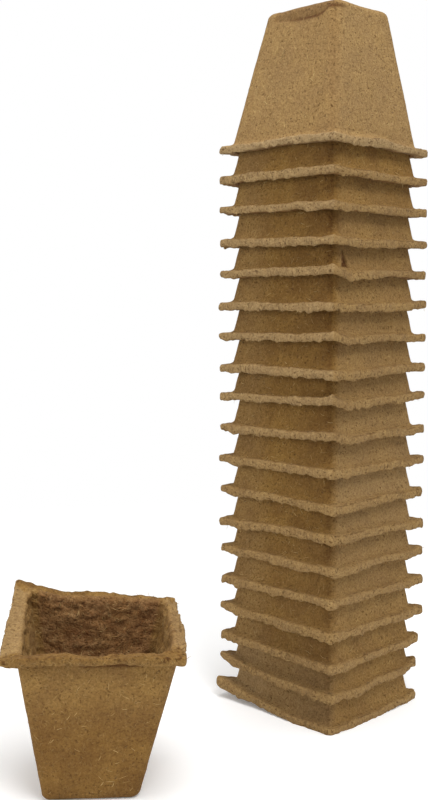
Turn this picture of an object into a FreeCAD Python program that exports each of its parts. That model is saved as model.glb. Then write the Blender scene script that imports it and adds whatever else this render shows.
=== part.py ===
import FreeCAD, Part
import math
import os

# A set of square peat pots: one stack nested mouth down, and one pot standing upright beside it.
# Lengths are in millimetres and angles in degrees. The origin is on the floor, at the middle of
# the lowest rim of the stack. X and Y run along the sides of the stacked pots, and Z points up.
# Every pot is shaped mouth down, the way the stack holds it, and the upright one is turned over.

# One pot, measured on its outside. Its base is a little longer along Y than along X.
pot_height = 81.0
mouth_width = 79.4
base_length_x = 47.2
base_extra_y = 7.8
corner_radius = 3.5
wall = 2.35
base_thickness = 3.2

# The rim, which stands out past the mouth, and the eased edge where the inside of the pot meets it
rim_overhang = 4.8
rim_thickness = 4.2
rim_corner_cut = 1.3
lip_ease = 1.5

# The gap that is left between the walls of two nested pots, square to the wall
nest_clearance = 0.398

# How far each stacked pot sits towards the left corner of the pot beneath it
drift_left = 0.21

# Where the upright pot stands, how it is turned, how its mouth sits askew over its base, and how far
# its rim sits to the left of its mouth
loose_place_x = -174.1
loose_place_y = 8.9
loose_turn = -39.0
loose_skew_right = 4.1
loose_skew_near = 2.9
loose_rim_left = 2.5

# How far a cutting solid runs past the surface that it cuts
overrun = 2.0

# How far the left, near and right corners of each stacked rim are bent towards the pot's base,
# as shares of the rim's thickness. The lowest pot comes first, and its near corner lies flat.
stack_bend_shares = [
    (2.35, 0.00, 0.00),
    (1.58, 0.08, 0.49),
    (0.28, -0.20, -0.16),
    (0.16, -0.20, -0.49),
    (-0.32, 0.04, -0.36),
    (-0.12, 0.00, -0.45),
    (-0.57, 0.00, -0.81),
    (0.00, -0.36, -0.65),
    (0.08, 0.08, -0.20),
    (0.08, 0.45, -0.08),
    (0.16, 0.89, 0.61),
    (-0.20, -0.16, 0.24),
    (0.04, 0.49, -0.12),
    (-0.12, 0.08, 0.20),
    (0.08, 0.45, 0.08),
    (-0.04, -0.20, -0.20),
    (0.40, 0.16, 0.04),
    (-0.04, 0.16, -0.16),
    (-0.28, 0.08, -0.53),
]

# The same for the upright pot's far left, far right and near right corners. The far left one curls
# up, away from the base.
loose_bend_shares = (-3.16, -0.48, 0.69)

# The flat middle of a bent rim, as a share of the half diagonal. The bends start at its two ends.
stack_flat_share = 0.25
loose_flat_share = 0.05

# Which corners the bends lie across: left and right on the stack, far left and near right on the other
stack_bend_turn = -45.0
loose_bend_turn = 45.0

# Values that follow from the sizes above
base_length_y = base_length_x + base_extra_y
rim_width = mouth_width + 2 * rim_overhang
taper_x = math.atan((mouth_width - base_length_x) / 2 / pot_height)
taper_y = math.atan((mouth_width - base_length_y) / 2 / pot_height)
nest_pitch = (wall + nest_clearance) / math.sin(min(taper_x, taper_y))
half_diagonal = rim_width / math.sqrt(2)
largest_bend_share = max(abs(share) for bend in stack_bend_shares + [loose_bend_shares] for share in bend)
rim_reach = rim_thickness * (1 + largest_bend_share) + overrun


def vector(x, y, z):
    return FreeCAD.Vector(x, y, z)


def rim_outline(z):
    """The square outline of the rim at height z, its four corners blunted."""
    half = rim_width / 2
    blunt = half - rim_corner_cut
    points = [(blunt, -half), (half, -blunt), (half, blunt), (blunt, half),
              (-blunt, half), (-half, blunt), (-half, -blunt), (-blunt, -half)]
    corners = [vector(x, y, z) for x, y in points]
    return Part.makePolygon(corners + corners[:1])


def body_corners(z, inset_x=0, inset_y=0, skew=(0, 0)):
    """The four sharp corners of the pot's outline at height z, drawn in by the insets."""
    share = z / pot_height
    half_x = (mouth_width + (base_length_x - mouth_width) * share) / 2 - inset_x
    half_y = (mouth_width + (base_length_y - mouth_width) * share) / 2 - inset_y
    centre_x = skew[0] * share
    centre_y = skew[1] * share
    signs = [(-1, -1), (1, -1), (1, 1), (-1, 1)]
    return [vector(centre_x + sign_x * half_x, centre_y + sign_y * half_y, z) for sign_x, sign_y in signs]


def tapered_block(lower, upper):
    """A solid with six flat faces between two sets of four corners."""
    outlines = [list(reversed(lower)), upper]
    for index in range(len(lower)):
        following = (index + 1) % len(lower)
        outlines.append([lower[index], lower[following], upper[following], upper[index]])
    faces = [Part.Face(Part.makePolygon(points + points[:1])) for points in outlines]
    return Part.Solid(Part.Shell(faces))


def sloping_edges(block):
    """The four edges that run from a tapered block's lower face to its upper one."""
    return [edge for edge in block.Edges if edge.BoundBox.ZLength > block.BoundBox.ZLength / 2]


def top_edges(block):
    """The edges round a block's upper face."""
    return [edge for edge in block.Edges if edge.BoundBox.ZMin > block.BoundBox.ZMax - corner_radius / 2]


def outer_body(skew, base_shows):
    """The pot's outside, run on past the mouth for the rim to trim.

    The base edge is rounded where it shows. Where another pot covers it, it is only bevelled.
    """
    block = tapered_block(body_corners(-rim_reach, skew=skew), body_corners(pot_height, skew=skew))
    if base_shows:
        return block.makeFillet(corner_radius, sloping_edges(block) + top_edges(block))
    bevel = corner_radius / 2
    spread = pot_height + rim_reach - bevel
    bevelled = tapered_block(body_corners(-rim_reach, -spread, -spread), body_corners(pot_height, bevel, bevel))
    return block.makeFillet(corner_radius, sloping_edges(block)).common(bevelled)


def cavity(skew, mouth_shows):
    """The space inside the pot, one wall in from the outside, eased at the mouth where that shows."""
    inset_x = wall / math.cos(taper_x)
    inset_y = wall / math.cos(taper_y)
    inner_radius = corner_radius - wall
    block = tapered_block(body_corners(-rim_reach, inset_x, inset_y, skew),
                          body_corners(pot_height - base_thickness, inset_x, inset_y, skew))
    space = block.makeFillet(inner_radius, sloping_edges(block))
    if not mouth_shows:
        return space
    ease = tapered_block(body_corners(-lip_ease, inset_x - 2 * lip_ease, inset_y - 2 * lip_ease, skew),
                         body_corners(lip_ease, inset_x, inset_y, skew))
    return space.fuse(ease.makeFillet(inner_radius, sloping_edges(ease)))


def bend_edge(start, reach, lift):
    """One side of the rim's section: an arc that leaves the flat part at start and rises by lift."""
    side = 1 if start > 0 else -1
    span = half_diagonal - abs(start)
    radius = (span * span + lift * lift) / (2 * abs(lift))
    rise = math.copysign(1, lift)
    points = []
    for run in (0, reach / 2, reach):
        drop = radius - math.sqrt(radius * radius - run * run)
        points.append(vector(start + side * run, 0, rise * drop))
    return points


def region_above(bend_shares, flat_share, bend_turn, level):
    """All the space above the rim's bent surface at level, so that it can trim a solid there.

    The section across the left and right corners is flat in the middle, with an arc at each end,
    and the whole surface is tipped so that it meets the near corner.
    """
    left, near, right = [share * rim_thickness for share in bend_shares]
    start = flat_share * half_diagonal
    reach = half_diagonal - start + overrun
    ceiling = pot_height + rim_reach
    section = []
    flat_end = vector(start, 0, 0)
    flat_start = vector(-start, 0, 0)
    right_end = vector(start + reach, 0, 0)
    left_end = vector(-start - reach, 0, 0)
    if left:
        first, between, last = bend_edge(-start, reach, left)
        left_end = last
        section.append(Part.Arc(last, between, first).toShape())
    else:
        section.append(Part.LineSegment(left_end, flat_start).toShape())
    section.append(Part.LineSegment(flat_start, flat_end).toShape())
    if right:
        first, between, last = bend_edge(start, reach, right)
        right_end = last
        section.append(Part.Arc(first, between, last).toShape())
    else:
        section.append(Part.LineSegment(flat_end, right_end).toShape())
    top_right = vector(start + reach, 0, ceiling)
    top_left = vector(-start - reach, 0, ceiling)
    section.append(Part.LineSegment(right_end, top_right).toShape())
    section.append(Part.LineSegment(top_right, top_left).toShape())
    section.append(Part.LineSegment(top_left, left_end).toShape())
    depth = 2 * (half_diagonal + rim_reach)
    region = Part.Face(Part.Wire(section)).extrude(vector(0, depth, 0))
    region.translate(vector(0, -depth / 2, level))
    region.rotate(vector(0, 0, 0), vector(1, 0, 0), -math.degrees(math.asin(near / half_diagonal)))
    region.rotate(vector(0, 0, 0), vector(0, 0, 1), bend_turn)
    return region


def rim(bend_shares, flat_share, bend_turn, rim_left):
    """The rim's plate, set rim_left to the left of the mouth.

    Its upper face is bent, and its underside runs on for one last trim.
    """
    plate = Part.Face(rim_outline(-rim_reach)).extrude(vector(0, 0, 2 * rim_reach))
    plate.translate(vector(-rim_left, 0, 0))
    return plate.cut(region_above(bend_shares, flat_share, bend_turn, rim_thickness))


def peat_pot(bend_shares, flat_share, bend_turn, rim_left, skew, base_shows, mouth_shows):
    """One pot, mouth down: its body and rim in one piece, hollow, and trimmed along the rim."""
    blank = outer_body(skew, base_shows).fuse(rim(bend_shares, flat_share, bend_turn, rim_left))
    trimmed = blank.common(region_above(bend_shares, flat_share, bend_turn, 0))
    return trimmed.cut(cavity(skew, mouth_shows)).removeSplitter().Solids[0]


def stacked_pot(index):
    """A pot of the stack, seated on the one beneath it and a little further to the left."""
    is_lowest = index == 0
    is_topmost = index == len(stack_bend_shares) - 1
    bend_shares = stack_bend_shares[index]
    pot = peat_pot(bend_shares, stack_flat_share, stack_bend_turn, 0, (0, 0), is_topmost, is_lowest)
    shift = drift_left * index / math.sqrt(2)
    pot.translate(vector(-shift, shift, nest_pitch * index))
    return pot


def upright_pot():
    """The pot that stands by itself on its base, turned over, with its mouth askew over its base."""
    skew = (-loose_skew_right, -loose_skew_near)
    pot = peat_pot(loose_bend_shares, loose_flat_share, loose_bend_turn, loose_rim_left, skew, True, True)
    pot.rotate(vector(0, 0, 0), vector(1, 0, 0), 180)
    pot.translate(vector(loose_skew_right, -loose_skew_near, pot_height))
    pot.rotate(vector(0, 0, 0), vector(0, 0, 1), loose_turn)
    pot.translate(vector(loose_place_x, loose_place_y, 0))
    return pot


parts = {"nested_pot_%02d" % (index + 1): stacked_pot(index) for index in range(len(stack_bend_shares))}
parts["loose_pot"] = upright_pot()

os.makedirs("parts", exist_ok=True)
for name, shape in parts.items():
    shape.exportStep("parts/" + name + ".step")
    print(name, "valid", shape.isValid(), "solids", len(shape.Solids), "volume", round(shape.Volume))
print("nest pitch", round(nest_pitch, 2))
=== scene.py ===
import math
from types import SimpleNamespace as Record

import bpy
import numpy as np
from mathutils import Matrix


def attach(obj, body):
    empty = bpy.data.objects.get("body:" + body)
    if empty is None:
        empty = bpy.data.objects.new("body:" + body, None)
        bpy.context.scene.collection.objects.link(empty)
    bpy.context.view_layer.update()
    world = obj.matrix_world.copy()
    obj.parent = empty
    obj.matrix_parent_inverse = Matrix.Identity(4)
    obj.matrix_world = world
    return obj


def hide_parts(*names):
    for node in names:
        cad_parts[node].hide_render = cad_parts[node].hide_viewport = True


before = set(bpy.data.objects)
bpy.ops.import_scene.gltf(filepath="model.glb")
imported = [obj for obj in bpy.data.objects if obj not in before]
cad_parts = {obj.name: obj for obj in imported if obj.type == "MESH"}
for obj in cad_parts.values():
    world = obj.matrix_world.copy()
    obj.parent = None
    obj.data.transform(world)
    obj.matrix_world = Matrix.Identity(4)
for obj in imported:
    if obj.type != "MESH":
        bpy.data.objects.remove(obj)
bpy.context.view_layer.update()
print("frame loaded:", len(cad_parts), "pots")

# Lengths are in millimetres unless a note says metres. The meshes are in metres.
metre = 0.001

# The camera where it stood for the photograph: place in metres, angles in degrees
cameraView = {
    "place": (-0.52179, -0.42630, 0.24992),
    "heading": 44.998,
    "down": 5.404,
    "roll": 0.492,
    "lens": 50.06,
    "shiftUp": -0.0038,
    "nearest": 0.01,
}


def lengths(vectors):
    return np.linalg.norm(vectors, axis=-1)


def unit(vectors):
    # The directions of the vectors, each one long
    return vectors / np.maximum(lengths(vectors)[..., None], 1e-9)


def rotated(x, y, angle):
    # Turned from x towards y by the angle
    return x * np.cos(angle) - y * np.sin(angle), x * np.sin(angle) + y * np.cos(angle)


def poseOf(right, up, backward, place):
    # A pose from the directions of its axes and its place
    pose = np.eye(4)
    pose[:3, :3] = np.stack([right, up, backward], -1)
    pose[:3, 3] = place
    return Matrix(pose.tolist())


def placed(name, data):
    # A new object, put in the scene
    thing = bpy.data.objects.new(name, data)
    bpy.context.collection.objects.link(thing)
    return thing


def placeCamera(view):
    # Right and forward follow from the angles, up is square to both, and the roll turns right and up
    heading, down, roll = (math.radians(view[key]) for key in ("heading", "down", "roll"))
    right = np.array([math.cos(heading), -math.sin(heading), 0])
    level = np.array([math.sin(heading), math.cos(heading), 0]) * math.cos(down)
    forward = level - (0, 0, math.sin(down))
    up = np.cross(right, forward)
    right, up = rotated(right, up, -roll)
    data = bpy.data.cameras.new("photoCamera")
    data.lens = view["lens"]
    data.shift_y = view["shiftUp"]
    data.clip_start = view["nearest"]
    camera = placed("photoCamera", data)
    camera.matrix_world = poseOf(right, up, -forward, view["place"])
    bpy.context.scene.camera = camera


placeCamera(cameraView)
bpy.context.scene.view_settings.view_transform = "Standard"


class Flow:
    # A value that runs through a node tree. Sums on flows add their own Math nodes.
    def __init__(self, tree, socket=None):
        self.tree = tree
        self.socket = socket

    def feed(self, socket, value):
        if isinstance(value, Flow):
            self.tree.links.new(value.socket, socket)
        else:
            socket.default_value = value

    def node(self, kind, settings=None, inputs=None, output=0):
        # Adds any node: its settings first, then what its input sockets take
        made = self.tree.nodes.new("ShaderNode" + kind)
        for key, value in (settings or {}).items():
            setattr(made, key, value)
        for key, value in (inputs or {}).items():
            self.feed(made.inputs[key], value)
        return Flow(self.tree, made.outputs[output])

    def sum(self, operation, first, second, clamped=False):
        settings = {"operation": operation, "use_clamp": clamped}
        return self.node("Math", settings, {0: first, 1: second})

    def __add__(self, other):
        return self.sum("ADD", self, other)

    def __sub__(self, other):
        return self.sum("SUBTRACT", self, other)

    def __rsub__(self, other):
        return self.sum("SUBTRACT", other, self)

    def __mul__(self, other):
        return self.sum("MULTIPLY", self, other)

    __radd__, __rmul__ = __add__, __mul__

    def between(self, low, high):
        # 0 below low, 1 above high, and a straight slope from one to the other
        return self.sum("MULTIPLY", self - low, 1 / (high - low), True)

    def mix(self, first, second, blend="MIX"):
        # The first colour where this is 0, the second where it is 1
        settings = {"data_type": "RGBA", "blend_type": blend}
        return self.node("Mix", settings, {0: self, 6: first, 7: second}, 2)

    def vector(self, operation, first, second, socket=1):
        inputs = {0: first, socket: second}
        return self.node("VectorMath", {"operation": operation}, inputs)


def emptied(owner):
    # The node tree of a material or a world, with nothing in it
    owner.use_nodes = True
    owner.node_tree.nodes.clear()
    return Flow(owner.node_tree)


def show(flow, surface, kind="OutputMaterial"):
    result = flow.tree.nodes.new("ShaderNode" + kind)
    flow.feed(result.inputs["Surface"], surface)


# The studio: a pale floor that fades out into white, and soft lamps. Lengths in metres.
studio = {
    "floorHalf": 1.6,
    "floorColour": (0.95, 0.95, 0.945, 1),
    "fadeFrom": 0.24,
    "fadeTo": 0.65,
    "floorGlow": 0.15,
    "skyLevel": 0.545,
    # Name, place, aim, size and power. The top one hangs over the tallest tower that the joints can make.
    "lamps": [
        ("keyLamp", (-0.38, -0.72, 1.10), (-0.03, 0.0, 0.20), 0.60, 7.4),
        ("topLamp", (-0.05, -0.05, 2.60), (-0.05, 0.0, 0.20), 1.50, 25.0),
        ("sideLamp", (-1.00, 0.22, 0.45), (0.0, 0.0, 0.15), 0.60, 2.5),
    ],
}


def pictureRays(flow):
    # 1 for the rays that draw the picture, reflections among them, and 0 for the rest
    seen, shiny, through = (
        flow.node("LightPath", output="Is %s Ray" % kind) for kind in ("Camera", "Glossy", "Transmission"))
    return flow.sum("MINIMUM", seen + shiny + through, 1.0)


def makeFloor(room):
    # A diffuse square, brightened a little where the picture sees it, that turns clear with distance
    half = room["floorHalf"]
    mesh = bpy.data.meshes.new("floor")
    corners = [(-half, -half, 0), (half, -half, 0), (half, half, 0), (-half, half, 0)]
    mesh.from_pydata(corners, [], [(0, 1, 2, 3)])
    floor = placed("floor", mesh)
    material = bpy.data.materials.new("paleFloor")
    flow = emptied(material)
    here = flow.node("TexCoord", output="Object")
    away = flow.node("VectorMath", {"operation": "LENGTH"}, {0: here}, "Value")
    paper = flow.node("BsdfDiffuse", inputs={"Color": room["floorColour"]})
    glow = flow.node("Emission", inputs={"Strength": pictureRays(flow) * room["floorGlow"]})
    paper = flow.node("AddShader", inputs={0: paper, 1: glow})
    clear = flow.node("BsdfTransparent")
    fade = away.between(room["fadeFrom"], room["fadeTo"])
    surface = flow.node("MixShader", inputs={0: fade, 1: paper, 2: clear})
    show(flow, surface)
    mesh.materials.append(material)


def lightStudio(room):
    # A sky that is white in the picture and dimmer as a light, and the lamps, each a disc
    world = bpy.data.worlds.new("studioWorld")
    bpy.context.scene.world = world
    flow = emptied(world)
    level = pictureRays(flow) * (1 - room["skyLevel"]) + room["skyLevel"]
    sky = flow.node("Background", inputs={"Color": (1, 1, 1, 1), "Strength": level})
    show(flow, sky, "OutputWorld")
    for name, place, aim, size, power in room["lamps"]:
        data = bpy.data.lights.new(name, "AREA")
        data.shape = "DISK"
        data.size = size
        data.energy = power
        lamp = placed(name, data)
        backward = unit(np.subtract(place, aim))
        side = unit(np.cross((0, 1, 0), backward))
        lamp.matrix_world = poseOf(side, np.cross(backward, side), backward, place)


makeFloor(studio)
lightStudio(studio)
print("studio ready")

# Colours are linear, sizes in metres. A tint multiplies the colour where its layer is full, and a share
# is how full the layer is at most.
peatFinish = {
    "brown": (0.316, 0.172, 0.046, 1),
    "tan": (0.422, 0.248, 0.067, 1),
    "inside": (0.302, 0.132, 0.046, 1),
    "insideTan": (0.416, 0.215, 0.074, 1),
    "pale": (0.532, 0.370, 0.182, 1),
    "bark": (0.085, 0.040, 0.015, 1),
    "straw": (0.600, 0.430, 0.185, 1),
    "darkTint": (0.36, 0.26, 0.20, 1),
    "clumpTint": (0.74, 0.70, 0.66, 1),
    "grainTint": (0.64, 0.60, 0.56, 1),
    "tinyTint": (0.58, 0.50, 0.42, 1),
    "crumbTint": (0.45, 0.37, 0.29, 1),
    # How much painted highlight the inside gets where its clumps are low
    "insidePaleShare": 0.30,
    "grainShare": 0.90,
    "streakShare": 0.25,
    "tinyShare": 0.65,
    "barkShare": 0.65,
    "strawShare": 0.45,
    "patchSize": 0.016,
    "clumpSize": 0.0026,
    "grainSize": 0.0011,
    "pitSize": 0.0015,
    "speckSize": 0.0026,
    "speckPushed": (0.0012, 0.0014),
    "strawLong": 0.0065,
    "strawWide": 0.0007,
    "strawPushed": (0.006, 0.0010),
    "strawShift": (0.013, 0.007, 0),
    "strawAngles": (14, 62, 108, 151),
    "bumpHeight": 0.0006,
    "bumpStrength": 0.95,
    "specular": 0.20,
}

# What each point of a skin says about itself, as shares from 0 to 1. The dark and pale shares carry
# the pots' own tone together with painted shade and painted light.
markNames = ("rimShare", "insideShare", "strawShare", "darkAndShadeShare", "paleShare")


def peatMaterial(finish):
    finish = Record(**finish)
    material = bpy.data.materials.new("mouldedPeat")
    flow = emptied(material)
    here = flow.node("TexCoord", output="Object")
    along = flow.node("UVMap", {"uv_map": "along"})

    rimShare, inside, strawShare, darkAndShadeShare, paleShare = (
        flow.node("Attribute", {"attribute_name": name}, output="Fac") for name in markNames)

    def noise(size, detail, roughness, where=here):
        return flow.node("TexNoise", inputs={
            "Vector": where, "Scale": 1 / size, "Detail": detail, "Roughness": roughness})

    def shifted(where, size, amount):
        # The place, pushed about at random by up to half the amount each way
        wander = flow.node("TexNoise", inputs={"Vector": where, "Scale": 1 / size}, output="Color")
        push = flow.vector("SUBTRACT", wander, (0.5, 0.5, 0.5))
        return flow.vector("ADD", where, flow.vector("SCALE", push, amount, "Scale"))

    def scattered(settings, cells, edge, kept):
        # Full in a cell's middle and gone past its edge, in only those cells whose random number is
        # kept. Edge and kept are each (where the slope starts, where it ends).
        middle = 1 - flow.node("TexVoronoi", settings, cells, "Distance").between(*edge)
        pick = flow.node("TexVoronoi", settings, cells, "Color")
        return middle * flow.node("SeparateColor", inputs={0: pick}).between(*kept)

    patches = noise(finish.patchSize, 3.0, 0.55).between(0.32, 0.68)
    clumps = noise(finish.clumpSize, 4.0, 0.6).between(0.30, 0.70)
    grain = noise(finish.grainSize, 2.5, 0.7).between(0.32, 0.68)
    crumbs = (rimShare * 0.02 + noise(finish.pitSize, 1.5, 0.5)).between(0.615, 0.685)
    tiny = noise(finish.pitSize * 0.55, 1.0, 0.5).between(0.63, 0.70)
    drawnOut = flow.vector("MULTIPLY", along, (1.0, 0.16, 1.0))
    streaks = noise(finish.grainSize, 1.0, 0.5, drawnOut).between(0.35, 0.65)

    # Dark bits of bark, large and small, bent out of round
    bark = 0.0
    frayed = shifted(here, *finish.speckPushed)
    for size, kept in ((finish.speckSize, (0.90, 0.92)), (finish.speckSize * 0.5, (0.86, 0.88))):
        bark = scattered({}, {"Vector": frayed, "Scale": 1 / size}, (0.12, 0.28), kept) + bark

    # Straws: long thin cells, laid over each other at several angles
    bowed = shifted(along, *finish.strawPushed)
    straws = 0.0
    for number, angle in enumerate(finish.strawAngles):
        turned = flow.node("Mapping", {"vector_type": "POINT"}, {
            "Vector": bowed, "Rotation": (0, 0, math.radians(angle)),
            "Location": [number * shift for shift in finish.strawShift]})
        laid = flow.vector("MULTIPLY", turned, (1 / finish.strawLong, 1 / finish.strawWide, 1))
        flat = {"voronoi_dimensions": "2D"}
        layer = scattered(flat, {"Vector": laid, "Scale": 1.0}, (0.08, 0.26), (0.84, 1.0))
        straws = flow.sum("MAXIMUM", layer, straws)

    body = patches.mix(finish.brown, finish.tan)
    hollow = patches.mix(finish.inside, finish.insideTan)
    colour = inside.mix(body, hollow)
    # Pale tones of the pots, together with painted light
    colour = paleShare.mix(colour, finish.pale)
    # Painted highlights on the inside, where the clumps are low
    colour = ((1 - clumps) * inside * finish.insidePaleShare).mix(colour, finish.pale)
    # Each layer darkens by its own mottling; on the inside the clumps darken more, as painted shade
    for share, tint in (
            (clumps * (inside * 0.9 + 0.60), finish.clumpTint), (grain * finish.grainShare, finish.grainTint),
            (streaks * finish.streakShare, finish.clumpTint), (tiny * finish.tinyShare, finish.tinyTint),
            (crumbs * (patches * 0.7 + 0.25), finish.crumbTint)):
        colour = share.mix(colour, tint, "MULTIPLY")
    colour = (bark * finish.barkShare).mix(colour, finish.bark)
    colour = (straws * finish.strawShare).mix(colour, finish.straw)
    # Dark tones of the pots, together with painted shade
    colour = darkAndShadeShare.mix(colour, finish.darkTint, "MULTIPLY")
    colour = strawShare.mix(colour, finish.straw)

    relief = clumps * 0.55 + grain * 0.40 + patches * 0.15 + straws * 0.15 - bark * 0.20 - crumbs * 0.35
    relief = relief * (inside * 1.2 + rimShare * 0.9 + 1)
    bump = flow.node("Bump", inputs={
        "Strength": finish.bumpStrength, "Distance": finish.bumpHeight, "Height": relief})
    surface = flow.node("BsdfPrincipled", inputs={
        "Base Color": colour, "Roughness": grain * 0.10 + 0.86, "Normal": bump,
        "Specular IOR Level": finish.specular})
    show(flow, surface)
    return material


peatLook = peatMaterial(peatFinish)
print("peat material ready")

# One pot, standing on its mouth. The neck is where the wall turns out into the rim, and tight is the
# corner radius of the two closed ends.
pot = {
    "height": 81.0,
    "mouth": 79.4,
    "baseX": 47.2,
    "baseY": 55.0,
    "corner": 3.5,
    "wall": 2.35,
    "base": 3.2,
    "rim": 89.0,
    "rimThick": 4.2,
    "rimCorner": 2.4,
    "edge": 1.1,
    "lip": 1.5,
    "neck": 2.2,
    "neckTall": 2.9,
    "insideCorner": 2.4,
    "tight": 1.2,
    "bendFade": 22.0,
    "tipEven": 0.5,
    "tipThin": 0.30,
}

# How rough or blotchy each part of a pot is: (size of the lumps, how far they stand out)
roughness = {
    "edgeIn": ((13.0, 0.55), (4.2, 0.45), (1.9, 0.35)),
    "edgeUp": ((19.0, 0.70), (6.0, 0.25)),
    "rimThicken": ((9.0, 0.35), (3.4, 0.36), (1.9, 0.20)),
    "teeth": ((5.5, 1.60), (2.4, 0.90)),
    "rimFace": ((2.8, 0.36), (1.6, 0.30)),
    "wall": ((24.0, 0.30), (6.0, 0.12), (2.0, 0.07)),
    "inside": ((24.0, 0.12), (5.0, 0.08)),
    "folds": ((4.5, 0.60), (2.2, 0.45)),
    "blotch": ((17.0, 0.10), (7.0, 0.06)),
    "groove": ((9.0, 0.7), (3.0, 0.5)),
    "looseInside": ((14.0, 0.5), (5.5, 0.75), (2.7, 1.00), (1.6, 0.50)),
    "looseLip": ((7.0, 0.50), (3.2, 0.50), (1.7, 0.25)),
    "looseBlotch": ((19.0, 0.10), (7.0, 0.06)),
    "looseBrow": ((6.0, 0.5), (2.5, 0.3)),
    "loosePits": ((1.9, 0.9), (1.1, 0.6)),
    "looseFew": ((14.0, 1.0),),
}


def lumps(points, kind, seed):
    # Each layer is smooth noise between -1 and 1: random values on a cubic lattice, eased along each
    # axis from one lattice point to the next. The layers are added, each times its own height.
    total = 0.0
    for number, (size, tall) in enumerate(roughness[kind]):
        lattice = np.random.default_rng([seed, number]).uniform(-1, 1, (48, 48, 48))
        scaled = points / size + 500.0
        cell = np.floor(scaled).astype(int)
        share = scaled - cell
        share = share * share * (3 - 2 * share)
        for corner in np.ndindex(2, 2, 2):
            spot = (cell + corner) % 48
            weight = np.prod(np.where(corner, share, 1 - share), axis=-1)
            total = total + tall * weight * lattice[spot[..., 0], spot[..., 1], spot[..., 2]]
    return total


def ease(value, start=0, length=1):
    # 0 up to start, 1 from start + length on, and a smooth S between them
    share = np.clip((value - start) / length, 0, 1)
    return share * share * (3 - 2 * share)


def bell(away, width):
    # 1 in the middle, and less with the square of the distance away from it
    return np.exp(-(away / width) ** 2)


def spike(away, width):
    # 1 at a sharp top, and less with the distance away from it
    return np.exp(-np.abs(away) / width)


def nearSide(place, start):
    # Goes from 0 to 1 between start and the side, which is at 1
    return ease(place, start, 1 - start)


def roundSquare(perSide, perCorner):
    # Anticlockwise round a rounded square. Core is on the square of the corner circles' centres, evenly
    # along a side, and outward is the direction from it to the outline, turning at each corner.
    run = np.concatenate([np.linspace(-1, 1, perSide, endpoint=False), np.ones(perCorner)])
    turn = np.concatenate([np.zeros(perSide), np.linspace(0, math.pi / 2, perCorner, endpoint=False)])
    core, outward = [], []
    for quarter in range(4):
        start = quarter * math.pi / 2
        facing = np.array([math.cos(start), math.sin(start)]).round(9)
        across = np.array([-facing[1], facing[0]])
        core.append(facing + run[:, None] * across)
        outward.append(np.stack([np.cos(start + turn), np.sin(start + turn)], -1))
    return np.concatenate(core), np.concatenate(outward)


def section(shape, wallRows, insideRows):
    # The pot's section from the middle of the base outside, down the wall, over the rim, up the inside
    # and back to the middle. Rows are (height, distance out from the wall, corner radius, shrink).
    height, thick, flange = shape.height, shape.rimThick, (shape.rim - shape.mouth) / 2
    corner, edge, neck, neckTall, lip = shape.corner, shape.edge, shape.neck, shape.neckTall, shape.lip
    tight = shape.tight
    innerTop = height - shape.base
    curve = shape.insideCorner
    wall = shape.wall / math.cos(math.atan((shape.mouth - shape.baseY) / 2 / height))
    quarter = np.linspace(0, math.pi / 2, 6, endpoint=False)
    half = np.linspace(math.pi / 2, -math.pi / 2, 9)[:-1]
    rings = np.linspace(0, 1, 7)
    spread = np.linspace(neck, flange - edge, 3)[:-1]
    under = np.linspace(flange - edge, lip - wall, 8)[:-1]

    def rimRadius(out):
        return np.where(out > 0, corner - (corner - shape.rimCorner) * out / flange, corner + out)

    def rows(high, out, radius, shrink=1.0):
        return np.stack(np.broadcast_arrays(high, out, radius, shrink), -1).reshape(-1, 4)

    neckOut = neck * (1 - np.cos(quarter))
    edgeOut = flange - edge + edge * np.cos(half).clip(0, None) ** 0.6
    lipOut = lip * (1 - np.sin(quarter)) - wall
    return np.concatenate([
        rows(height, -corner, tight, rings[:-1]),
        rows(height - corner + corner * np.cos(quarter), corner * (np.sin(quarter) - 1),
             tight + (corner - tight) * np.sin(quarter)),
        rows(wallRows, 0, corner),
        rows(thick + neckTall * (1 - np.sin(quarter)), neckOut, rimRadius(neckOut)),
        rows(thick, spread, rimRadius(spread)),
        rows(thick / 2 * (1 + np.sin(half)), edgeOut, rimRadius(edgeOut)),
        rows(0, under, rimRadius(under)),
        rows(lip * (1 - np.cos(quarter)), lipOut, corner + lipOut),
        rows(insideRows, -wall, corner - wall),
        rows(innerTop - curve + curve * np.sin(quarter), -wall - curve * (1 - np.cos(quarter)),
             tight + (corner - wall - tight) * np.cos(quarter)),
        rows(innerTop, -wall - curve, tight, rings[::-1]),
    ])


def bentRim(x, y, shape, lifts, flatShare, turn):
    # How far the rim is bent up at (x, y). Across the two bent corners it is flat in the middle, with an
    # arc to each corner, and the whole rim is tipped to meet the third corner.
    start, middle, end = lifts
    diagonal = shape.rim / math.sqrt(2)
    across, ahead = rotated(x, y, -math.radians(turn))
    run = np.clip(np.abs(across) - flatShare * diagonal, 0, None)
    span = (1 - flatShare) * diagonal
    lift = np.where(across > 0, end, start)
    safe = np.maximum(np.abs(lift), 1e-6)
    radius = (span * span + safe * safe) / (2 * safe)
    drop = radius - np.sqrt(radius * radius - np.minimum(run, span * 1.1) ** 2)
    return np.sign(lift) * drop - ahead / diagonal * middle


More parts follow.
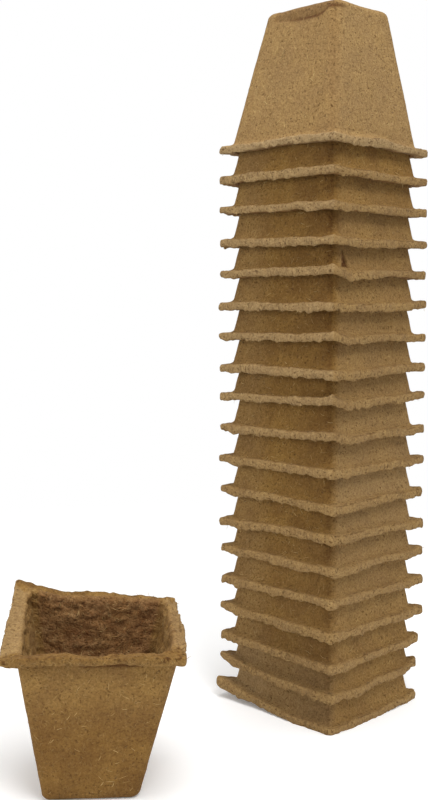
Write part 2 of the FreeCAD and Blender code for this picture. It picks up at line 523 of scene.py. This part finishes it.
def potSkin(shape, fit, seed):
    # The whole skin of a pot on a grid: columns round the outline, rows along the section. A point is
    # core * (half width - radius) + outward * radius at its row's height, then bent with the rim,
    # and at last moved along the skin's own normal by the lumps.
    table = section(shape, fit.wallRows, fit.insideRows)
    high, out, radius, shrink = (table[:, column, None] for column in range(4))
    core, outward = roundSquare(fit.perSide, fit.perCorner)
    rimThick, half = shape.rimThick, shape.mouth / 2
    past = (np.arange(len(table)) - np.argmax(table[:, 1]))[:, None]
    inside = ease(past, fit.insideFrom, 8)
    rimShare = np.clip(out / (shape.rim / 2 - half), 0, 1)
    where = Record(
        x=core[:, 0], y=core[:, 1], outward=outward, half=half, high=high, below=shape.height - high,
        past=past, rimShare=rimShare, inside=inside, shrink=shrink)

    # The near and far corners are softer than the side ones, where the wall turns out more sharply
    corner = where.x * where.y
    radius = radius + fit.softCorner * (1 - 0.6 * rimShare) * (1 + corner) / 2
    sharper = fit.sharpen * np.clip((1 - corner) / 2, 0, 1) ** 12
    neck = (high > rimThick) & (out > 0) & (past < 0)
    high = np.where(neck, rimThick + (high - rimThick) * (1 - sharper), high)

    rimLine = core * (shape.rim / 2 - shape.rimCorner) + outward * shape.rimCorner
    rimLine = np.concatenate([rimLine, np.zeros((len(rimLine), 1))], -1)
    ragged = lumps(rimLine, "edgeIn", seed) * fit.ragged(where.x)
    wave = lumps(rimLine, "edgeUp", seed + 1)
    teeth = np.abs(lumps(rimLine, "teeth", seed + 6)) * fit.teeth(where.x)
    tips = np.abs(core).min(-1)
    uneven = lumps(rimLine, "rimThicken", seed + 2) * (1 - shape.tipEven * tips ** 4)
    thicken = fit.bead + uneven - shape.tipThin * tips ** 6
    reach = out + ragged * rimShare ** 2
    slopes = [(shape.mouth - base) / 2 / shape.height for base in (shape.baseX, shape.baseY)]

    def outline(level):
        wide = [(half - slope * level * (1 - rimShare) + reach) * shrink for slope in slopes]
        curve = radius * shrink
        x = where.x * (wide[0] - curve) + outward[:, 0] * curve - fit.rimLeft * rimShare
        y = where.y * (wide[1] - curve) + outward[:, 1] * curve
        return x, y

    x, y = outline(high)
    bend = bentRim(x, y, shape, *fit.bend)
    follow = 1 - ease((where.high - rimThick) / shape.bendFade)
    level = high + follow * (bend + wave * fit.waveShare)
    x, y = outline(np.maximum(level, 0))
    upper = (high / rimThick * 2 - 1).clip(-1, 1)
    level = level + np.where(high <= rimThick, upper, 1) * thicken * rimShare ** 2 * (rimShare > 0)
    level = level - teeth * np.clip(-upper, 0, 1) ** 0.5 * rimShare ** 3 * (high < rimThick)
    level = level + fit.rise(where)
    skew = np.clip(level, 0, shape.height) / shape.height
    pushX, pushY = fit.shift(where)
    points = np.stack([x + fit.skew[0] * skew + pushX, y + fit.skew[1] * skew + pushY, level], -1)

    normal = skinNormal(points)
    rimFace = lumps(points, "rimFace", seed + 3)
    wallFace = lumps(points, "wall", seed + 4)
    inFace = lumps(points * fit.insideStretch, fit.insideRough, seed + 5)
    push = wallFace * (1 - inside) * fit.wallShown(high) + inFace * inside * fit.insideShown(high)
    push = push + rimFace * rimShare + fit.dent(where, points)
    points = points + normal * push[..., None]
    dark, pale = fit.tone(where, points)
    marks = {"rimShare": rimShare + 0 * x, "insideShare": inside * fit.insideTone(where.x) + 0 * x,
             "darkAndShadeShare": np.clip(dark, 0, 1), "paleShare": np.clip(pale, 0, 1)}
    return points, skinNormal(points), marks


def skinNormal(points):
    # The cross product of the steps along the section and round the outline, made one long. The two
    # poles look straight up and straight down.
    aside = np.roll(points, -1, 1) - np.roll(points, 1, 1)
    down = np.gradient(points, axis=0)
    normal = unit(np.cross(down, aside))
    normal[0] = (0, 0, 1)
    normal[-1] = (0, 0, -1)
    return normal


def gridFaces(rows, columns):
    # Four-cornered faces between neighbouring rows, and a fan of triangles at each pole, which is one point
    row = np.arange(rows - 3)[:, None]
    column = np.arange(columns)
    after = (column + 1) % columns
    first = 1 + row * columns
    quads = np.stack(np.broadcast_arrays(first + column, first + columns + column,
                                         first + columns + after, first + after), -1).reshape(-1, 4)
    last = 1 + (rows - 3) * columns
    top = np.stack([0 * column, 1 + column, 1 + after], -1)
    bottom = np.stack([0 * column + 1 + (rows - 2) * columns, last + after, last + column], -1)
    return quads, top, bottom


def skinPart(points, marks, turn):
    # The grid as one part of a mesh, with a flat map of the skin in metres: distance round the mouth
    # across, distance along the section down.
    rows, columns = points.shape[:2]
    quads, top, bottom = gridFaces(rows, columns)
    vertices = np.concatenate([points[:1, 0], points[1:-1].reshape(-1, 3), points[-1:, 0]])
    downward = np.concatenate([[0], np.cumsum(lengths(np.diff(points, axis=0)).mean(1))])
    aside = np.concatenate([[0], np.cumsum(lengths(np.roll(points, -1, 1) - points).max(0))])
    row = np.arange(1, rows - 2)[:, None]
    column = np.arange(columns)
    corners = [(row, column), (row + 1, column), (row + 1, column + 1), (row, column + 1)]
    quadMap = np.stack([np.stack(np.broadcast_arrays(aside[c], downward[r]), -1) for r, c in corners], -2)
    values = {key: np.concatenate([value[:1, 0], value[1:-1].reshape(-1), value[-1:, 0]])
              for key, value in marks.items()}
    triangles = np.concatenate([top, bottom])
    faces = [(quads, quadMap * metre + turn), (triangles, vertices[triangles][..., :2] * metre + turn)]
    return vertices, faces, values


def tubesAlong(paths, facing, wide, deep, tone):
    # Thin four-sided tubes, one along each row of points, narrower at both ends. A corner of the
    # section is the middle point plus or minus wide along the side, or deep along facing.
    count, steps = paths.shape[:2]
    forward = unit(np.gradient(paths, axis=1))
    side = unit(np.cross(facing, forward))
    above = np.cross(forward, side)
    ends = 1 - 0.75 * np.abs(np.linspace(-1, 1, steps)) ** 3
    wide = (wide[:, None] * ends)[..., None]
    deep = (deep[:, None] * ends)[..., None]
    ring = [paths + side * wide, paths + above * deep, paths - side * wide, paths - above * deep]
    points = np.stack(ring, 2)
    number = np.arange(count * steps * 4).reshape(count, steps, 4)
    near, far = number[:, :-1], number[:, 1:]
    sides = np.stack([near, np.roll(near, -1, 2), np.roll(far, -1, 2), far], -1).reshape(-1, 4)
    quads = np.concatenate([sides, number[:, 0, ::-1], number[:, -1]])
    points = points.reshape(-1, 3)
    return points, [(quads, points[quads][..., :2] * metre)], {"strawShare": np.repeat(tone, steps * 4)}


def sampleGrid(grid, row, column):
    # The grid's value at fractional rows and columns, blended from the four points round it
    rows, columns = grid.shape[:2]
    row = np.clip(row, 1, rows - 2.001)
    below = np.floor(row).astype(int)
    before = np.floor(column).astype(int)
    down = (row - below)[..., None]
    aside = (column - before)[..., None]
    before, after = before % columns, (before + 1) % columns
    upper = grid[below, before] * (1 - aside) + grid[below, after] * aside
    lower = grid[below + 1, before] * (1 - aside) + grid[below + 1, after] * aside
    return upper * (1 - down) + lower * down


# Straws in the skin and at the rim: lengths, half widths, points along each, how far one stands out of the
# skin, and how far its loose end may be lifted
strawKinds = {
    "wall": {"length": (1.5, 5.0), "width": (0.07, 0.16), "steps": 6, "sunk": 0.02, "loose": 0.25},
    "inside": {"length": (1.0, 3.4), "width": (0.07, 0.14), "steps": 5, "sunk": 0.02, "loose": 0.5},
    "rim": {"length": (0.8, 2.6), "width": (0.07, 0.14), "steps": 5, "sunk": 0.0, "loose": 0.6},
}


def laidStraws(points, normal, rowSpan, count, kind, seed):
    # A straw's middle line crosses the grid from a random cell in a random direction, bowed like a
    # shallow arch, and one end is lifted off the skin by its square distance along the straw.
    random = np.random.default_rng(seed)
    each = (count, 1)
    row = random.uniform(*rowSpan, each)
    column = random.uniform(0, points.shape[1], each)
    angle = random.uniform(0, 2 * math.pi, each)
    length = random.uniform(*kind["length"], each)
    bow = random.normal(0, 0.06, each) * length
    lift = np.abs(random.normal(0, kind["loose"], each)) * (random.random(each) < 0.35)
    rowStep = lengths(np.gradient(points, axis=0)).clip(0.3, None)
    columnStep = lengths(np.roll(points, -1, 1) - points).clip(0.2, None)
    here = (row.astype(int), column.astype(int) % points.shape[1])
    share = np.linspace(-0.5, 0.5, kind["steps"])
    down, across = rotated(length * share, bow * (1 - 4 * share ** 2), angle)
    rows = np.clip(row + down / rowStep[here], *rowSpan)
    columns = column + across / columnStep[here]
    facing = sampleGrid(normal, rows, columns)
    raised = kind["sunk"] + lift * (share + 0.5) ** 2
    paths = sampleGrid(points, rows, columns) + facing * raised[..., None]
    width = random.uniform(*kind["width"], count)
    return tubesAlong(paths, facing, width, width * 0.7, random.uniform(0.2, 0.9, count))


def rimWhiskers(points, normal, rowSpan, count, kind, seed):
    # A whisker starts in the rim's edge and runs out of it, leaning sideways at random and curling by
    # its square distance.
    random = np.random.default_rng(seed)
    each = (count, 1)
    row = random.uniform(*rowSpan, each)
    column = random.uniform(0, points.shape[1], each)
    length = random.uniform(0.35, 1.0, (*each, 1)) ** 2 * kind["length"][1]
    root = sampleGrid(points, row, column)
    facing = sampleGrid(normal, row, column)
    lean = random.normal(0, 1.0, (*each, 3))
    heading = unit(facing * 0.75 + lean * 0.9)
    curl = random.normal(0, 0.35, (*each, 3)) - (0, 0, 0.12)
    share = np.linspace(0, 1, kind["steps"])[:, None]
    paths = root - facing * 0.3 + length * (heading * share + curl * share ** 2)
    guide = np.broadcast_to(np.cross(heading, lean), paths.shape)
    width = random.uniform(*kind["width"], count)
    return tubesAlong(paths, guide, width, width * 0.8, random.uniform(0.0, 0.9, count))


def buildPiece(name, parts, place, material):
    # Joins the parts, each (points, [(faces, flat map)], marks), into one mesh, moved by the given function
    # of its points, and puts it in the scene. Nothing goes below the floor.
    start = 0
    loopCount = 0
    points, loops, starts, maps = [], [], [], []
    marks = {key: [] for key in markNames}
    for spots, groups, shares in parts:
        points.append(spots)
        for faces, flatMap in groups:
            loops.append((faces + start).ravel())
            starts.append(loopCount + faces.shape[1] * np.arange(len(faces)))
            maps.append(flatMap.reshape(-1, 2))
            loopCount += faces.size
        for key, values in marks.items():
            values.append(shares.get(key, np.zeros(len(spots))))
        start += len(spots)
    points = place(np.concatenate(points)) * metre
    points[:, 2] = np.clip(points[:, 2], 0, None)
    mesh = bpy.data.meshes.new(name)
    mesh.vertices.add(len(points))
    mesh.vertices.foreach_set("co", points.astype(np.float32).ravel())
    mesh.loops.add(loopCount)
    mesh.loops.foreach_set("vertex_index", np.concatenate(loops).astype(np.int32))
    starts = np.concatenate(starts).astype(np.int32)
    mesh.polygons.add(len(starts))
    mesh.polygons.foreach_set("loop_start", starts)
    mesh.polygons.foreach_set("use_smooth", np.ones(len(starts), bool))
    layer = mesh.uv_layers.new(name="along")
    layer.data.foreach_set("uv", np.concatenate(maps).astype(np.float32).ravel())
    for key, values in marks.items():
        attribute = mesh.attributes.new(key, "FLOAT", "POINT")
        attribute.data.foreach_set("value", np.concatenate(values).astype(np.float32))
    mesh.update(calc_edges=True)
    mesh.validate()
    mesh.materials.append(material)
    return placed(name, mesh)


def span(first, last, step):
    # Even steps from first towards last, of about the given size
    return np.linspace(first, last, max(2, round(abs(last - first) / step)), endpoint=False)


# The first row of a skin that lies on its outer wall
firstWallRow = 13


def edgeRow(points):
    # The row of the skin that stands out furthest, on a column of the side that faces +X
    return int(np.argmax(points[:, 40, 0]))


# The stack. Each of its rims: how far its left, near and right corners are bent up, the height of the peak
# at its near corner, the depths of the dip right of that and of its right side's sag, and how far its near
# corner's underside hangs. The lowest pot comes first and is number 0.
stack = {
    "pitch": 18.451,
    "drift": 0.1485,
    "flatShare": 0.25,
    "turn": -45.0,
    "rims": [
        (9.87, 0, 0, 0.2, 0, 0, 0), (6.64, 0.34, 2.06, 0.5, 0, 0.3, 2.4),
        (1.18, -0.84, -0.67, 0.9, 0, 0.8, 0.8), (0.67, -0.84, -2.06, 0.5, 0, 1.0, 2.8),
        (-1.34, 0.17, -1.51, 0.4, 0, 0.5, 0.3), (-0.50, 0, -1.89, 0.8, 0.3, 1.9, 0.8),
        (-2.39, 0, -3.40, 1.5, 0.4, 1.3, 1.6), (0, -1.51, -2.73, 0.5, 0, 1.3, 1.2),
        (0.34, 0.34, -0.84, 0.5, 0, 1.0, 0), (0.34, 1.89, -0.34, 1.0, 1.0, 2.2, 0),
        (0.67, 3.74, 2.56, 2.6, 1.9, 2.0, 0), (-0.84, -0.67, 1.01, 0.8, 0.3, 0.6, 0),
        (0.17, 2.06, -0.50, 2.0, 1.0, 1.4, 0), (-0.50, 0.34, 0.84, 0.7, 0.3, 0.6, 0),
        (0.34, 1.89, 0.34, 2.0, 2.2, 2.4, 0), (-0.17, -0.84, -0.84, 1.6, 0, 1.1, 0),
        (1.68, 0.67, 0.17, 1.0, 0, 0.6, 0), (-0.17, 0.67, -0.67, 0.9, 0, 0.7, 0),
        (-1.18, 0.34, -2.23, 0.6, 0, 1.6, 0),
    ],
    # Widths of the peak and of what hangs. The dip and the sag: how far right of the corner, and how wide.
    "peakScale": 1.35,
    "peakWidth": 4.8,
    "hangWidth": 7.0,
    "dip": (15.0, 6.5),
    "sag": (22.0, 19.0),
    # How far the left and right tips of the lowest rims stand out past the rest, and how wide they are
    "tips": ((3.0, -2.8), (0.0, -2.5), (0.0, -1.0), (0.0, 0.0), (0.0, 1.2)),
    "tipWidth": 9.0,
    # The lower rims curl down near their side corners: how far, how far from them, and how wide. The
    # lowest left tip is thickened downwards. Right tips are blunt, the lower ones more so.
    "lowerRims": 10,
    "curl": (1.1, 12.0, 6.0),
    "underTip": 2.8,
    "blunt": (1.6, 0.8),
    "bluntWidth": 4.5,
    # How much sharper the wall turns out into the rim at the side corners, below a number and above
    "sharpen": (0.8, 0.3),
    "sharpRims": 9,
    "tear": {"pot": 14, "at": 11.0, "wide": 5.4, "narrows": 0.50, "leans": 0.40, "tall": 11.5, "deep": 1.5},
    # The top pot's left face is pushed in above a crease, which is given by its depth below the base
    # along the face, and its left corner leans in
    "crease": ((0.0, 0.1, 0.43, 0.77, 0.86, 0.94, 1.1), (6.3, 6.8, 8.6, 8.4, 7.2, 4.3, 3.8)),
    "creasePush": 0.8,
    "topLean": 1.25,
    "foldReach": 9.0,
    # Painted light above 0 and painted shade below 0, for the left and right faces of the pots of these
    # numbers
    "faceTones": ((0, 1, 2, 7, 8, 11, 15, 17), (0.62, 0.52, 0.12, 0.0, -0.03, -0.13, -0.07, 0.0),
                  (0.22, 0.23, 0.24, 0.58, 0.48, 0.38, 0.26, 0.05)),
    "bandDark": 0.25,
    "bandWidth": 3.4,
    "shadeDark": (0.26, 0.34),
    "shadeWidth": 28.0,
    "shadedFrom": 14,
    # Painted shade of a groove along the rims' right edges
    "grooveDark": 0.70,
    # Painted shade in the top pot's crease strip and along the crease's line
    "creaseDark": 0.44,
    "lineDark": 0.85,
    # Painted light on the rims' edges, and more on the upper pots' left side
    "rimPale": 0.46,
    "upperRimPale": 0.26,
    "farLeftPale": 0.22,
    "topPale": 0.42,
    "shownTop": 21.0,
    "coveredStep": 7.0,
    "wallStep": 0.85,
    "seed": 100,
    "wallStraws": 85,
    "rimStraws": 45,
}


def fromNearCorner(where):
    # Millimetres along the outline from the near corner's middle: above 0 on the right face, below 0 on
    # the left face, and far off on the two hidden ones
    outward, end = where.outward, -0.999
    turn = (np.arctan2(outward[:, 1], outward[:, 0]) + 7 * math.pi / 4) % (2 * math.pi) - math.pi
    bow = np.clip(turn, -math.pi / 4, math.pi / 4) * 6.7
    right = np.where(where.y < end, (where.x + 1) * where.half, 999.0)
    return bow + np.where(where.x < end, -(where.y + 1) * where.half, right)


def fromSideCorners(where):
    # Millimetres along the outline from the left corner, and from the right one. Past their neighbours
    # both are far off.
    away = (1 - np.minimum(np.abs(where.x), np.abs(where.y))) * where.half
    across = where.x * where.y < 0
    return np.where(across & (where.y > 0), away, 99.0), np.where(across & (where.x > 0), away, 99.0)


def stackedPot(number):
    own, shape = Record(**stack), Record(**pot)
    *lifts, peak, dip, sag, hang = own.rims[number]
    topmost = number == len(own.rims) - 1
    lower = number < own.lowerRims
    rip = Record(**own.tear)
    torn = number == rip.pot
    neckTop = shape.rimThick + shape.neckTall
    wallTop = shape.height - shape.corner
    insideTop = shape.height - shape.base - shape.insideCorner
    if topmost:
        wallRows = span(wallTop, neckTop, own.wallStep)
    else:
        wallRows = np.concatenate([span(wallTop, own.shownTop, own.coveredStep),
                                   span(own.shownTop, neckTop, own.wallStep)])

    def wallShown(high):
        # Where the next pot covers the wall, the lumps stay too low to touch it
        return 1.0 if topmost else 0.12 + 0.88 * (1 - ease(high, 14.0, 4.5))

    def rise(where):
        # At the near corner a peak, mostly of the rim's upper side, less what hangs below it. Right of it
        # the dip and the sag. At the side corners a blunt right tip, less the curl and the thick tip.
        away = fromNearCorner(where)
        fromLeft, fromRight = fromSideCorners(where)
        upper = ease(where.high / shape.rimThick)
        level = own.peakScale * peak * (0.3 + 0.7 * upper) * spike(away, own.peakWidth)
        level = level - hang * (1 - 0.8 * upper) * spike(away, own.hangWidth)
        for depth, (middle, width) in ((dip, own.dip), (sag, own.sag)):
            level = level - depth * bell(away - middle, width)
        level = level + own.blunt[not lower] * bell(fromRight, own.bluntWidth) * upper
        if lower:
            deep, middle, width = own.curl
            level = level - deep * bell(np.minimum(fromLeft, fromRight) - middle, width)
        if number == 0:
            level = level - own.underTip * bell(fromLeft, own.tipWidth) * (1 - upper)
        return where.rimShare ** 1.5 * (where.past < 8) * level

    def tear(where):
        # A wedge in the wall above the rim, narrower and further left with height
        above = where.high - shape.rimThick
        wide = np.clip(rip.wide - above * rip.narrows, 0.5, None)
        middle = rip.at - above * rip.leans
        gap = 1 - ease((np.abs(fromNearCorner(where) - middle) / wide - 0.4) / 0.6)
        return gap * (above > 0.2) * (above < rip.tall)

    def crease(where):
        # The strip of the top pot's left face between the crease and the base
        away = fromNearCorner(where)
        depth = np.interp(1 + away / (2 * where.half), *own.crease)
        strip = 1 - ease((where.below - depth + 0.7) / 1.4)
        face = (away < 0) * ease(-away / 2.5) * ease((2 * where.half + away) / 2.5)
        return strip * face * where.shrink ** 3 * (where.past < 0)

    def shift(where):
        # How far the skin is moved along X and along Y: tips out or in, or the top pot's crease and lean
        if number < len(own.tips):
            left, right = own.tips[number]
            fromLeft, fromRight = fromSideCorners(where)
            out = right * bell(fromRight, own.tipWidth) - left * bell(fromLeft, own.tipWidth)
            out = out * where.rimShare / math.sqrt(2)
            return out, -out
        if not topmost:
            return 0.0, 0.0
        leftCorner = ease((where.y - where.x) / 2 - 0.1) ** 2
        lean = own.topLean * leftCorner * np.clip(where.high / shape.height, 0, 1)
        lean = lean * where.shrink * (where.past < 0)
        return lean + own.creasePush * crease(where), -lean

    def dent(where, points):
        # How far the skin is moved out along its normal: in at the tear, and folds at the top pot's corner
        if torn:
            return -rip.deep * tear(where)
        if not topmost:
            return 0.0
        near = bell(fromNearCorner(where), own.foldReach) * bell(where.below, own.foldReach)
        near = near * ease(where.below, 1.0, 3.0) * (where.past < 0)
        return lumps(points, "folds", 77) * near

    def tone(where, points):
        # Dark: the near corner's band, painted shade on the left wall towards it, painted shade on some
        # faces, blotches, painted shade of a groove along the right edge of the rim, and painted shade in the
        # tear and
        # the crease. Pale: painted light on the rim's edge and on some faces, the far left, and the top pot.
        away = fromNearCorner(where)
        outside = 1 - where.inside
        wall = (1 - where.rimShare) * outside
        band = bell(away, own.bandWidth) * own.bandDark * (0.7 if topmost else 1.0)
        # Painted shade on the left wall, strongest towards the near corner
        shade = bell(away, own.shadeWidth) * own.shadeDark[number >= own.shadedFrom]
        shade = (away <= 0) * shade * (0.3 if topmost else 1.0)
        blotch = lumps(points, "blotch", 300 + number)
        # Painted light and shade on each pot's left and right faces: pale above 0, dark below
        numbers, *sides = own.faceTones
        leftLight, rightLight = (np.interp(number, numbers, tones) for tones in sides)
        faceLight = (leftLight + (rightLight - leftLight) * ease(away, -2, 8)) * wall
        groove = lumps(points, "groove", 500 + number)
        dark = wall * (band + shade + np.maximum(blotch, 0)) + np.maximum(-faceLight, 0)
        # Painted shade of a groove, along the right edge of the rim
        dark = dark + own.grooveDark * ease(groove / 0.4) * (where.past == -3) * (away > 2)
        # Painted shade in the tear's gap
        if torn:
            dark = dark + tear(where) * outside
        # Painted light on the rims' edges, more on the upper pots' left side
        upperLeft = ease(number, 7, 4) * (away < 0)
        pale = (own.rimPale + own.upperRimPale * upperLeft) * where.rimShare ** 2 * outside
        pale = pale + blotch * 0.4 + np.maximum(faceLight, 0)
        if not topmost:
            return dark, pale + own.farLeftPale * wall * ease(-away, 48, 25)
        # Painted shade in the crease's strip and along its line
        across = 1 + away / (2 * where.half)
        line = bell(where.below - np.interp(across, *own.crease), 1.0)
        line = line * (1 - ease(away, 3, 5)) * ease((2 * where.half + away) / 4) * ease(across / 0.6)
        dark = dark + own.creaseDark * crease(where) + own.lineDark * line * (where.past < 0)
        return dark, pale + own.topPale

    fit = Record(
        bend=(lifts, own.flatShare, own.turn), skew=(0, 0),
        wallRows=wallRows, insideRows=span(shape.lip, insideTop, 8.0),
        perSide=104, perCorner=7, bead=0.05, waveShare=1.0, softCorner=3.2, rimLeft=0.0,
        insideRough="inside", insideStretch=(1, 1, 1), insideFrom=4,
        insideTone=lambda x: 1.0, insideShown=lambda high: 0.6, wallShown=wallShown,
        ragged=lambda x: 1.0, teeth=lambda x: 0.75 - 0.35 * x,
        sharpen=own.sharpen[number >= own.sharpRims],
        rise=rise, shift=shift, dent=dent, tone=tone,
    )
    seed = own.seed + 10 * number
    points, normal, marks = potSkin(shape, fit, seed)
    neckRow = firstWallRow - 1 + len(wallRows)
    shownRow = firstWallRow if topmost else neckRow - 14
    straws = own.wallStraws * (5 if topmost else 1)
    edge = edgeRow(points)
    parts = [
        skinPart(points, marks, 0.31 * number),
        laidStraws(points, normal, (shownRow, neckRow + 8), straws, strawKinds["wall"], seed + 7),
        rimWhiskers(points, normal, (edge - 4, edge + 6), own.rimStraws, strawKinds["rim"], seed + 8),
    ]
    move = np.array([-own.drift, own.drift, own.pitch]) * number
    node = "nested_pot_%02d" % (number + 1)
    piece = buildPiece("stackedPot%02d" % (number + 1), parts, lambda spots: spots + move, peatLook)
    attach(piece, node)
    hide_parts(node)


for number in range(len(stack["rims"])):
    stackedPot(number)
print("stack ready")

# The pot that stands by itself, mouth up. Places along its sides run from -1 at one end to 1 at the other.
upright = {
    "place": (-174.1, 8.9),
    "turn": -39.0,
    "skewRight": 4.1,
    "skewNear": 2.9,
    "rimLeft": 2.5,
    "lifts": (-13.27, -2.02, 2.90),
    "flatShare": 0.05,
    "bendTurn": 45.0,
    # The back edge's height at these places, and how far down the wall follows it
    "backEdge": ((-1.0, -0.9, -0.68, -0.47, -0.27, 0.0, 0.14, 0.35, 0.75, 1.0),
                 (0.0, -0.1, -1.2, -1.25, -0.45, 0.9, 1.2, 0.5, -0.3, -1.2)),
    "backFade": 12.0,
    # The front edge's sag: depth, place, width, and how much of it is thinning. Then the right end's drop.
    "frontSag": (2.1, 0.08, 0.42, 0.8),
    "rightDrop": 0.9,
    "cornerDrawn": 2.0,
    # The right flange's bulge: height, place and width. Then how far the wall is drawn in below the lip at
    # the back and on the right, and how deep that goes.
    "bulge": (1.3, 0.15, 0.16),
    "lipDrawn": (2.4, 2.0, 13.0),
    # Where the painted shadow line under the front rim starts and ends, how far below the rim it is, and how
    # wide
    "crack": (-0.30, 0.56, 2.7, 1.1),
    "wallDark": 0.12,
    "footDark": 0.25,
    "middleDark": 0.08,
    "rimDark": 0.29,
    "wallPale": 0.15,
    # Painted light on the flanges' upper faces, most on the sides
    "sidePale": 0.46,
    "stretch": (0.65, 0.65, 1.0),
    "neck": 1.0,
    "neckTall": 1.5,
    "wallStep": 1.3,
    "insideStep": 0.95,
    "seed": 900,
    "wallStraws": 180,
    "insideStraws": 700,
    "rimStraws": 90,
}


def uprightPot():
    # Its own frame is mouth down like the stack's, so its front is +Y, its back is -Y, and up is down
    own = Record(**upright)
    shape = Record(**dict(pot, neck=own.neck, neckTall=own.neckTall))
    neckTop = shape.rimThick + shape.neckTall
    insideTop = shape.height - shape.base - shape.insideCorner
    wallRows = span(shape.height - shape.corner, neckTop, own.wallStep)
    insideRows = span(shape.lip, insideTop, own.insideStep)
    seed = own.seed

    def rise(where):
        # The back edge's line, and less down the wall. The front edge's sag, mostly by thinning, and the
        # drop of its right end.
        x, y, high = where.x, where.y, where.high
        back = nearSide(-y, 0.6) * np.interp(x, *own.backEdge)
        back = back * (1 - ease((high - shape.rimThick) / own.backFade))
        depth, middle, width, thin = own.frontSag
        front = depth * bell(x - middle, width) * (1 - thin * ease(high / shape.rimThick))
        front = front + own.rightDrop * ease(x, 0.3, 0.5)
        front = front * nearSide(y, 0.8) * ease(where.past, -12, 6)
        return front * (1 - ease(high, 6, 8) * (where.past > 0)) - back

    def shift(where):
        # The far left corner of the rim is drawn in towards the right
        return own.cornerDrawn * ease(-where.x) * ease(-where.y, -0.6, 1.6) * where.rimShare, 0.0

    def dent(where, points):
        # The bulge, a thick uneven lip, and the wall below it drawn in
        x, y, high = where.x, where.y, where.high
        tall, middle, width = own.bulge
        bulge = tall * nearSide(x, 0.9) * bell(y - middle, width) * where.rimShare ** 3
        lip = ease(where.past, 3, 5) * (1 - ease(high, 3, 8))
        lip = lip * lumps(points, "looseLip", seed + 55)
        back, right, deep = own.lipDrawn
        drawn = back * nearSide(-y, 0.8) + right * nearSide(x, 0.8)
        return bulge + lip + drawn * bell(high, deep) * ease(where.past, 9, 6)

    def tone(where, points):
        # Dark: painted shade in the inside's hollows, blotchy lumps, a painted shadow line under the front
        # rim, the wall towards its foot, brows at the back, and pits. Pale: painted highlights on the
        # inside's lumps, painted light on the flanges' upper faces, most on the sides, and the wall's upper
        # end.
        x, y, high, inside = where.x, where.y, where.high, where.inside
        front, back = nearSide(y, 0.9), nearSide(-y, 0.9)
        aside = np.clip(1 - front - back, 0, 1)
        top = ease(where.past, -1, 4) * (1 - inside)
        wall = (1 - inside) * (1 - top)
        blotch = lumps(points, "looseBlotch", seed + 51)
        brow = lumps(points, "looseBrow", seed + 57)
        pits = ease(lumps(points, "loosePits", seed + 58), 0.30, 0.15)
        few = ease(lumps(points, "looseFew", seed + 59) / 0.5 + 0.5)
        # Painted shade in the inside's hollows and painted highlights on its lumps
        hollowShading = lumps(points * own.stretch, "looseInside", seed + 5) * inside
        fall = ease(high, 14, 40)
        # A painted shadow line under the front rim's edge, faint on its left part
        start, end, depth, width = own.crack
        crack = bell(high - shape.rimThick - depth, width) * front * (where.past < 0)
        crack = crack * (0.12 + 0.88 * ease(x, start, 0.1) * (1 - ease(x, end, 0.1)))
        dark = 0.06 * back * inside + crack + np.maximum(blotch, 0) * (1 - inside)
        dark = dark - np.clip(0.20 * hollowShading, -0.45, 0)
        shade = own.wallDark + own.footDark * fall + own.middleDark * bell(high - 36, 16)
        dark = dark + shade * wall + back * top * (0.05 + np.clip(brow, -0.05, None))
        dark = dark + own.rimDark * front * top
        lip = ease(where.past, -4, 3) * (1 - ease(high, 2, 4) * (where.past > 0))
        pitted = 0.75 * front * (0.4 + 0.6 * few)
        pitted = pitted + few * (0.12 + 0.30 * back + 0.5 * nearSide(x, 0.9) * aside)
        dark = dark + pits * lip * pitted
        # Painted light on the flanges' upper faces, most on the sides
        pale = top * (0.05 + own.sidePale * aside) + blotch * 0.3
        pale = pale + own.wallPale * (1 - fall) * wall + np.clip(0.18 * hollowShading, 0, 0.35)
        return dark, pale + 0.10 * ease(np.abs(x), 0.86, 0.08) * inside

    fit = Record(
        bend=(own.lifts, own.flatShare, own.bendTurn),
        skew=(-own.skewRight, -own.skewNear),
        wallRows=wallRows, insideRows=insideRows,
        perSide=92, perCorner=7, bead=0.25, waveShare=0.8, softCorner=0.6,
        rimLeft=own.rimLeft, insideRough="looseInside",
        insideStretch=own.stretch, insideFrom=9,
        insideTone=lambda x: 1 - 0.85 * ease(np.abs(x), 0.86, 0.08),
        wallShown=lambda high: 1.0, insideShown=lambda high: ease(high / 5),
        ragged=lambda x: 0.55 + 0.45 * x, teeth=lambda x: 0.5 + 0.3 * x,
        sharpen=0.0, rise=rise, shift=shift, dent=dent, tone=tone,
    )
    points, normal, marks = potSkin(shape, fit, seed)
    edge = edgeRow(points)
    wallSpan = (firstWallRow, firstWallRow + 3 + len(wallRows))
    insideSpan = (edge + 18, edge + 18 + len(insideRows))
    parts = [
        skinPart(points, marks, 0.77),
        laidStraws(points, normal, wallSpan, own.wallStraws, strawKinds["wall"], seed + 7),
        laidStraws(points, normal, insideSpan, own.insideStraws, strawKinds["inside"], seed + 9),
        rimWhiskers(points, normal, (edge - 4, edge + 8), own.rimStraws, strawKinds["rim"], seed + 8),
    ]

    def turnOver(spots):
        # Half a turn about X, then about Z by the turn, then to its place on the floor
        x, y = spots[:, 0] + own.skewRight, -spots[:, 1] - own.skewNear
        x, y = rotated(x, y, math.radians(own.turn))
        return np.stack([x + own.place[0], y + own.place[1], shape.height - spots[:, 2]], -1)

    piece = buildPiece("uprightPot", parts, turnOver, peatLook)
    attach(piece, "loose_pot")
    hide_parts("loose_pot")


uprightPot()
print("upright pot ready")
